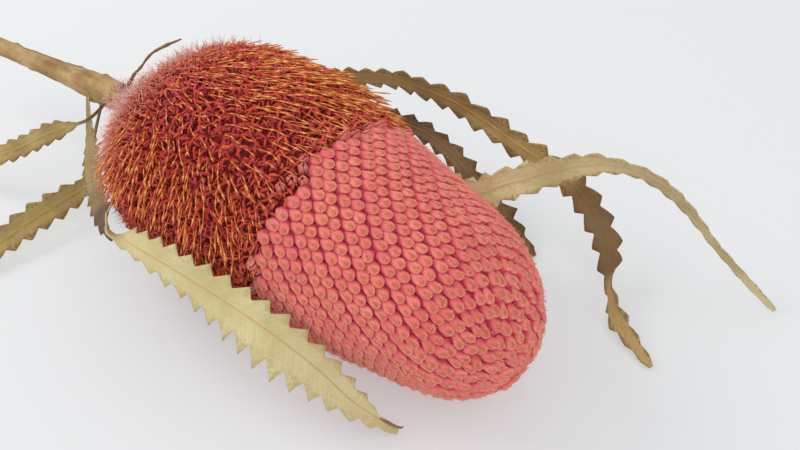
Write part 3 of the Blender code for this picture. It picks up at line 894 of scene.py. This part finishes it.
def leaf_blade(route, half_width, pitch, widest, blunt, lobed, notch_share, seed, swells=()):
    """A toothed blade along its midrib, with its rib, side veins and crinkles in the mesh."""
    _, length = even_route(route, 2)
    teeth = round(length / pitch)
    last = ROWS_TO_A_TOOTH * teeth
    rows, _ = even_route(route, last + 1)
    margin = len(BLADE_COLUMNS)
    bm = bmesh.new()
    along_layer = bm.verts.layers.float.new("along")
    edge_layer = bm.verts.layers.float.new("edge")
    bmesh.ops.create_grid(bm, x_segments=last, y_segments=2 * margin, size=1)
    for vert in bm.verts:
        station = round((vert.co.x + 1) / 2 * last)
        column = round(vert.co.y * margin)
        side = (column > 0) - (column < 0)
        middle = Vector(rows[station][:3])
        ahead = Vector(rows[min(last, station + 1)][:3]) - Vector(rows[max(0, station - 1)][:3])
        ahead.normalize()
        level = Vector((0, 0, 1)).cross(ahead).normalized()
        upright = ahead.cross(level)
        roll = math.radians(rows[station][3])
        across = level * math.cos(roll) + upright * math.sin(roll)
        normal = ahead.cross(across)
        u = station / last
        phase = (station % ROWS_TO_A_TOOTH) / ROWS_TO_A_TOOTH
        lens = smooth(u / widest) * (1 - max(0.0, 2 * u - 1) ** blunt) ** 0.8
        lens += sum(
            more * math.exp(-((u - where) / over) ** 2)
            for where, over, more, on in swells if on in (0, side)
        )
        lens = max(0.0, lens)
        notch = half_width * (LEAF_STALK + (1 - LEAF_STALK) * lens * notch_share)
        wild = noise.noise(Vector((station / ROWS_TO_A_TOOTH * 0.9, side * 5, seed)))
        profile = tooth_profile(phase, lobed)
        forward = 0.0
        if abs(column) == margin:
            stands = (1 - notch_share) * lens * (1 - LEAF_STALK) * profile * (1 + TEETH_VARY * wild)
            out = notch + half_width * stands
            forward = TOOTH_FORWARD * pitch * profile * lens
            share = 1.0
        else:
            share = BLADE_COLUMNS[abs(column)]
            out = notch * share
        vein_phase = (station / ROWS_TO_A_TOOTH - VEIN_SLANT * share - 0.1) % 1.0
        vein = math.exp(-((vein_phase - 0.5) / VEIN_WIDTH) ** 2) * (share > 0.1) * (abs(column) < margin)
        rib = RIB_HEIGHT * math.exp(-(share / RIB_WIDTH) ** 2)
        coarse = noise.noise(Vector((u * length * 0.11, side * 3 * share, seed + 7)))
        fine = noise.noise(Vector((u * length * 0.35, side * share * 4, seed + 3)))
        crinkle = COARSE_CRINKLE * share * share * coarse + FINE_CRINKLE * fine
        height = LEAF_FOLD * out + lens * (rib + VEIN_HEIGHT * vein + crinkle)
        vert.co = (middle + across * side * out + ahead * forward + normal * height) * MM
        vert[along_layer] = u * length * MM
        vert[edge_layer] = share * side
    return bm


def thicken(piece, other_side=0):
    """Gives a blade its thickness, and its far face another of its materials."""
    wall = piece.modifiers.new("thickness", "SOLIDIFY")
    wall.thickness = LEAF_THICKNESS
    wall.offset = 0
    wall.material_offset = other_side


def leaf_material(name, light, dark, rib_colour, margin_colour, roughness=0.6, darker_stretch=None):
    """Dried leaf: clouded between two tones, with an orange rib, faint side veins and a brown margin.

    A darker stretch is a stretch of another colour: its start and its end along the blade in millimetres,
    and that.
    """
    made, tree, shader = start_material(name, roughness)
    edge = work_out(tree, "ABSOLUTE", attribute(tree, "edge"))
    clouds = between(tree, grain(tree, 75, 4.0), 0.36, 0.66)
    flecks = grain(tree, 1100, 3.0)
    blade = blend_colours(tree, clouds, linear(*light), linear(*dark))
    flecked = product(tree, between(tree, flecks, 0.45, 0.75), 0.35)
    blade = blend_colours(tree, flecked, blade, linear(*margin_colour))
    swept = work_out(tree, "MULTIPLY_ADD", edge, -SWEEP_OF_VEINS, attribute(tree, "along"))
    wave = work_out(tree, "SINE", product(tree, swept, math.tau * VEINS_TO_A_METRE))
    streaks = product(tree, between(tree, wave, -0.2, 1.0), flecks)
    blade = blend_colours(tree, product(tree, streaks, 0.24), blade, linear(*rib_colour))
    outer = product(tree, between(tree, edge, 0.86, 1.0), between(tree, flecks, 0.3, 0.7))
    blade = blend_colours(tree, product(tree, outer, 0.8), blade, linear(*margin_colour))
    rib = product(tree, between(tree, edge, 0.07, 0.0), 0.85)
    blade = blend_colours(tree, rib, blade, linear(*rib_colour))
    if darker_stretch:
        along = attribute(tree, "along")
        start, end = darker_stretch[0] * MM, darker_stretch[1] * MM
        begun = between(tree, along, start, start + STRETCH_FADES_OVER)
        in_stretch = product(tree, begun, between(tree, along, end, end - STRETCH_FADES_OVER))
        blade = blend_colours(tree, product(tree, in_stretch, 0.85), blade, linear(*darker_stretch[2]))
    finish_material(tree, shader, blade, grain(tree, 1400, 4.0), 0.35, 0.2 * MM)
    return made


pale_leaf = leaf_material("pale_leaf", (213, 201, 151), (200, 186, 134), (200, 158, 92), (192, 172, 120))
sandy_leaf = leaf_material("sandy_leaf", (214, 200, 150), (192, 174, 122), (200, 158, 96), (168, 142, 94))
# The front blade's far face: its darker stretch over the twist is partly the dried leaf's brown, partly
# painted shade.
brown_back = leaf_material("brown_back", (160, 134, 86), (132, 106, 66), (160, 124, 76), (100, 76, 48),
                           darker_stretch=(54, 90, (82, 54, 42)))
sandy_back = leaf_material("sandy_back", (204, 186, 134), (178, 156, 106), (188, 146, 88), (140, 114, 74))

leaf_front = make_piece("leaf_front_blade", leaf_blade(seed=1, **LEAF_FRONT), pale_leaf, brown_back)
thicken(leaf_front, other_side=1)
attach(leaf_front, "root")
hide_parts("leaf_front")

leaf_arched = make_piece("leaf_arched_blade", leaf_blade(seed=2, **LEAF_ARCHED), sandy_leaf, sandy_back)
thicken(leaf_arched, other_side=1)
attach(leaf_arched, "root")
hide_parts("leaf_arched")


# Styles. Each open floret has let go of its style, a stiff golden-orange wire that stands out of the wool
# and leans towards the tip. It carries two beads, and ends in a thin dark point; the pale bands on its bend
# and at its far bead are painted highlights. The styles under the spike lie flat, and those beside the front
# leaf are shorter.

STYLE_SHARE = 0.9
STYLE_ROOT = 3.5 * MM
STYLE_SEED = 8
STYLE_SIDES = 4
WIRE_RADIUS = 0.18 * MM

# Each style: its length in millimetres and how far it sways. Then its steps from root to point, its
# thickness at each, and its colours on the way, where the pale yellow on its bend and at its far bead is
# painted highlight.
STYLE_LENGTHS = ((12.8, 0.08), (13.6, -0.08), (12.0, 0.02))
WIRE_STEPS = (0, 0.16, 0.32, 0.41, 0.50, 0.62, 0.70, 0.76, 0.81, 0.90, 1.0)
WIRE_SWELLS = (1.1, 1.0, 0.95, 1.45, 0.95, 0.9, 0.95, 1.45, 1.65, 1.0, 0.4)
WIRE_COLOURS = (
    (0.0, (176, 68, 42)), (0.20, (226, 118, 44)), (0.30, (252, 176, 84)), (0.42, (234, 134, 50)),
    (0.60, (240, 146, 56)), (0.76, (255, 200, 112)), (0.90, (230, 128, 62)), (1.0, (176, 78, 52)),
)

# Angles in degrees: how far the styles lean, and where round the spike they stand in pairs.
STYLE_LEANS = (34, 41, 48, 55, 62, 69, 78, 92)
SIDE_LEAN = 47
TOP_LEAN = 75
BASE_LEAN = 14
LEAN_VARIES = 4
TOP_ANGLE = 92
TOP_SPREAD = 30
TOP_PAIRS = (20, 104)
SIDE_PAIRS = (128, 172)
UNDER_SPIKE = (170, 240)
LEAST_TURN = math.radians(-14)
MORE_TURN = math.radians(40)
TURN_FROM = 80
TURN_OVER = 70

FIRST_STYLE = 1.5 * MM
LAST_STYLE = 136 * MM
FLAT_FROM = 108 * MM
FULL_LENGTH_FROM = 13 * MM
PAIR_GAP = 1.7 * MM
STYLE_SIZES = (0.9, 1.06)
SHORTEST = 0.45
BASE_SHORTER = 0.20
TOP_SHORTER = 0.10
TOP_SHORTER_SPREAD = 45
STYLE_REACH = 8 * MM
STYLE_LEAF_GAP = 13 * MM
BY_LEAF_SHORTER = 0.68
STYLE_TILT = ((0, 0.05), (0, 0.06))


def beaded_style(length, lean, sway):
    """A wire that rises, bends over to its lean towards +x, and has beads on it and a thin dark point."""
    path = [Vector((0, 0, 0))]
    for low, high in zip(WIRE_STEPS, WIRE_STEPS[1:]):
        bend = lean * smooth(high / 0.45)
        ahead = Vector((math.sin(bend), sway * math.sin(5 * high), math.cos(bend)))
        path.append(path[-1] + ahead.normalized() * (high - low) * length)
    return tube(path, [WIRE_RADIUS * swell for swell in WIRE_SWELLS], STYLE_SIDES)


style_shapes = [
    [
        shape_of(beaded_style(length * MM, math.radians(lean), sway), f"style_{lean}")
        for length, sway in STYLE_LENGTHS
    ]
    for lean in STYLE_LEANS
]
front_midrib = [Vector(row[:3]) * MM for row in even_route(LEAF_FRONT["route"], 80)[0]]
styles = empty_bed()
style_random = random.Random(STYLE_SEED)
for i in opened:
    s, angle, _ = sites[i]
    point, outward, tipward, around = spike_places[i]
    clear = past_opening(point) - borders[i]
    degrees = math.degrees(angle) % 360
    if clear < FIRST_STYLE or s > LAST_STYLE:
        continue
    from_top = (degrees - TOP_ANGLE + 180) % 360 - 180
    towards_base = smooth((s - FLAT_FROM) / (LAST_STYLE - FLAT_FROM))
    reach_over = point + (outward * 0.5 + tipward * 0.7) * STYLE_REACH
    by_leaf = min((reach_over - spot).length for spot in front_midrib) < STYLE_LEAF_GAP
    turn = LEAST_TURN + MORE_TURN * smooth((degrees - TURN_FROM) / TURN_OVER)
    paired = TOP_PAIRS[0] < degrees < TOP_PAIRS[1] or SIDE_PAIRS[0] < degrees < SIDE_PAIRS[1]
    for k in range(1 + paired):
        lean = SIDE_LEAN + (TOP_LEAN - SIDE_LEAN) * math.exp(-(max(0.0, from_top) / TOP_SPREAD) ** 2)
        lean += BASE_LEAN * towards_base + style_random.gauss(0, LEAN_VARIES)
        if UNDER_SPIKE[0] < degrees < UNDER_SPIKE[1]:
            lean = STYLE_LEANS[-1]
        shapes = min(zip(STYLE_LEANS, style_shapes), key=lambda pair: abs(pair[0] - lean))[1]
        size = style_random.uniform(*STYLE_SIZES)
        size *= SHORTEST + (1 - SHORTEST) * smooth(clear / FULL_LENGTH_FROM)
        size *= 1 - BASE_SHORTER * towards_base
        size *= 1 - TOP_SHORTER * math.exp(-(from_top / TOP_SHORTER_SPREAD) ** 2)
        if by_leaf:
            size *= BY_LEAF_SHORTER
        tilt = tilted(spike_places[i], style_random, *STYLE_TILT)
        loose = around * k * PAIR_GAP + tipward * style_random.gauss(0, 0.3 + k) * MM
        foot = point + loose - outward * STYLE_ROOT
        place = stand(foot, tilt, tipward, style_random.gauss(0, 0.12) - turn, size)
        if style_random.random() < STYLE_SHARE:
            plant(styles, style_random.choice(shapes), place, style_random.random())
press_on_floor(styles)

golden_wire, tree, shader = start_material("golden_wire", 0.42)
shader.inputs["Specular IOR Level"].default_value = 0.45
ramp = add_node(tree, "ShaderNodeValToRGB", {"Fac": attribute(tree, "reach")})
while len(ramp.color_ramp.elements) < len(WIRE_COLOURS):
    ramp.color_ramp.elements.new(0.5)
for element, (where, colour) in zip(ramp.color_ramp.elements, WIRE_COLOURS):
    element.position = where
    element.color = linear(*colour)
duller = product(tree, attribute(tree, "tone"), 0.5)
gold = blend_colours(tree, duller, ramp.outputs["Color"], linear(206, 100, 44))
finish_material(tree, shader, gold, grain(tree, 3000, 2.0), 0.2, 0.05 * MM)

golden_styles = make_piece("golden_styles", styles, golden_wire)
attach(golden_styles, "root")


# Olive leaves. The same kind of blade, dried to olive brown: the long one behind the spike, which comes
# down at the right with rounded teeth, and the two that lie out to the left.

LEAF_BACK_LONG = dict(
    route=((-84, 3.2, 35.6, 20), (-82, 20, 29, 30), (-68, 40, 29, 70), (-48, 56, 36, 100),
           (-31, 60, 42, 118), (-15, 61, 46, 110), (6, 63, 45, 94), (26, 67, 37, 85), (46, 72, 27, 75),
           (59, 71, 15, 29), (66, 65, 9.5, 50), (71, 58, 7, 88), (79, 50, 5, 50), (95, 43, 1.2, 20)),
    half_width=5.3, pitch=7.2, widest=0.35, blunt=5.0, lobed=0.45, notch_share=0.48)
LEAF_LEFT_UPPER = dict(
    route=((-89, -5.0, 37.6, -49), (-88, -12, 36, -58), (-93, -15, 33, -71), (-102, -19, 28, -54),
           (-112, -24, 21, -54), (-122, -29, 15, -50), (-132, -34, 9, -35), (-140, -40, 3, -12)),
    half_width=4.0, pitch=5.6, widest=0.35, blunt=2.5, lobed=0.5, notch_share=0.62,
    swells=((0.12, 0.10, -0.6, 0),))
LEAF_LEFT_LOWER = dict(
    route=((-95, -2.2, 33.9, -2), (-96, -8, 20, 4), (-91, -16, 11, -19), (-91, -27, 9, -35),
           (-91, -39, 8, -35), (-91, -52, 6, -30), (-92, -64, 4, -15), (-95, -76, 1.5, 0)),
    half_width=5.6, pitch=6.6, widest=0.35, blunt=2.5, lobed=0.4, notch_share=0.56,
    swells=((0.22, 0.12, -1.0, 0),))

olive_leaf = leaf_material("olive_leaf", (188, 162, 104), (154, 128, 78), (210, 160, 98), (118, 92, 56),
                           darker_stretch=(166, 208, (116, 88, 58)))
olive_tan_leaf = leaf_material("olive_tan_leaf", (176, 154, 94), (148, 124, 72), (184, 148, 86),
                               (126, 100, 58), darker_stretch=(-20, 16, (112, 84, 54)))
for seed, name, shape, paint in (
    (3, "leaf_back_long", LEAF_BACK_LONG, olive_leaf),
    (4, "leaf_left_upper", LEAF_LEFT_UPPER, olive_tan_leaf),
    (5, "leaf_left_lower", LEAF_LEFT_LOWER, olive_tan_leaf),
):
    piece = make_piece(name + "_blade", leaf_blade(seed=seed, **shape), paint)
    thicken(piece)
    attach(piece, "root")
    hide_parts(name)


# Brown leaves. A short dark blade behind the spike, and a narrow one by the stem that has rolled itself
# into a thin brittle tube as it dried. The front leaf's torn tip has rolled up and turned brown like it.

LEAF_BACK_DARK = dict(
    route=((-88, 2.4, 34.5, 10), (-88, 22, 24, 20), (-68, 52, 20, 40), (-44, 68, 19, 60),
           (-20, 73, 20, 74), (-5, 72, 18, 58), (7, 69, 14.5, 50), (20, 66, 8.5, 40), (40, 62, 1.2, 10)),
    half_width=4.5, pitch=7.0, widest=0.35, blunt=3.0, lobed=0.1, notch_share=0.46,
    swells=((0.88, 0.09, 0.8, 0),))
ROLLED_ROUTE = ((-82, 0, 44.0, 0.9), (-79, 2, 50, 0.7), (-75, 2, 54, 0.55),
                (-70, 3, 60, 0.6), (-65, 5, 64, 0.8), (-60, 8, 67, 0.35))
TORN_ROUTE = ((52.2, -26.9, 6.6, 0.2), (53.4, -25.9, 5.4, 0.7), (54.6, -25.0, 4.3, 0.8),
              (55.8, -24.1, 3.6, 0.7), (56.8, -23.4, 3.4, 0.5), (57.3, -23.0, 4.0, 0.2))
ROLLED_ROWS = 40
ROLLED_SIDES = 10
ROLLED_CRINKLE = 0.25 * MM

# Dark brown: the rolled blades' own colour. On the short blade behind the spike it is partly painted shade.
dark_leaf = leaf_material("dark_leaf", (138, 110, 74), (106, 82, 56), (150, 114, 72), (78, 56, 38), 0.7)
leaf_back_dark = make_piece("leaf_back_dark_blade", leaf_blade(seed=6, **LEAF_BACK_DARK), dark_leaf)
thicken(leaf_back_dark)
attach(leaf_back_dark, "root")
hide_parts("leaf_back_dark")

for name, route in (("leaf_curled_blade", ROLLED_ROUTE), ("torn_leaf_tip", TORN_ROUTE)):
    rows = [route_point(route, i / ROLLED_ROWS) for i in range(ROLLED_ROWS + 1)]
    rolled = rod(rows, ROLLED_SIDES, flat=0.6)
    for vert in rolled.verts:
        vert.co += vert.normal * ROLLED_CRINKLE * noise.noise(vert.co * 400)
    piece = make_piece(name, rolled, dark_leaf)
    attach(piece, "root")
    if route is ROLLED_ROUTE:
        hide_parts("leaf_curled")


# The stage. A pale floor that glows a little, as a sheet in a light tent does, with soft daylight from
# everywhere, a broad soft lamp on the left and a wider one above the camera.

FLOOR_SIDE = 4.0
bm = bmesh.new()
bmesh.ops.create_grid(bm, x_segments=1, y_segments=1, size=FLOOR_SIDE / 2)
pale_paper, tree, shader = start_material("pale_paper", 0.9)
shader.inputs["Base Color"].default_value = (0.46, 0.465, 0.47, 1)
sheet = blend_colours(tree, grain(tree, 4, 2.0), linear(229, 232, 233), linear(232, 235, 236))
tree.links.new(sheet, shader.inputs["Emission Color"])
shader.inputs["Emission Strength"].default_value = 0.435
floor = make_piece("floor", bm, pale_paper)

world = bpy.data.worlds.new("daylight")
world.use_nodes = True
sky = world.node_tree.nodes["Background"]
sky.inputs["Color"].default_value = (0.96, 0.98, 1.0, 1)
sky.inputs["Strength"].default_value = 0.74
bpy.context.scene.world = world

for name, place, size, energy in (
    ("window", (-0.85, -0.38, 0.76), 0.7, 5.4),
    ("fill", (0.8, -0.5, 0.9), 1.2, 3.6),
):
    lamp_data = bpy.data.lights.new(name, "AREA")
    lamp_data.shape = "DISK"
    lamp_data.size = size
    lamp_data.energy = energy
    lamp = bpy.data.objects.new(name, lamp_data)
    lamp.location = place
    lamp.rotation_euler = (-lamp.location).to_track_quat("-Z", "Y").to_euler()
    bpy.context.scene.collection.objects.link(lamp)

CAMERA_TARGET = Vector((0.0204, 0.0179, 0.030))
CAMERA_DISTANCE = 0.328
CAMERA_AZIMUTH = math.radians(41)
CAMERA_ELEVATION = math.radians(38)
camera_data = bpy.data.cameras.new("camera")
camera_data.lens = 50
camera_data.sensor_width = 36
camera_data.clip_start = 0.01
camera = bpy.data.objects.new("camera", camera_data)
back = Vector((
    math.sin(CAMERA_AZIMUTH) * math.cos(CAMERA_ELEVATION),
    -math.cos(CAMERA_AZIMUTH) * math.cos(CAMERA_ELEVATION),
    math.sin(CAMERA_ELEVATION),
))
camera.location = CAMERA_TARGET + back * CAMERA_DISTANCE
camera.rotation_euler = back.to_track_quat("Z", "Y").to_euler()
bpy.context.scene.collection.objects.link(camera)
bpy.context.scene.camera = camera
bpy.context.scene.view_settings.view_transform = "Standard"
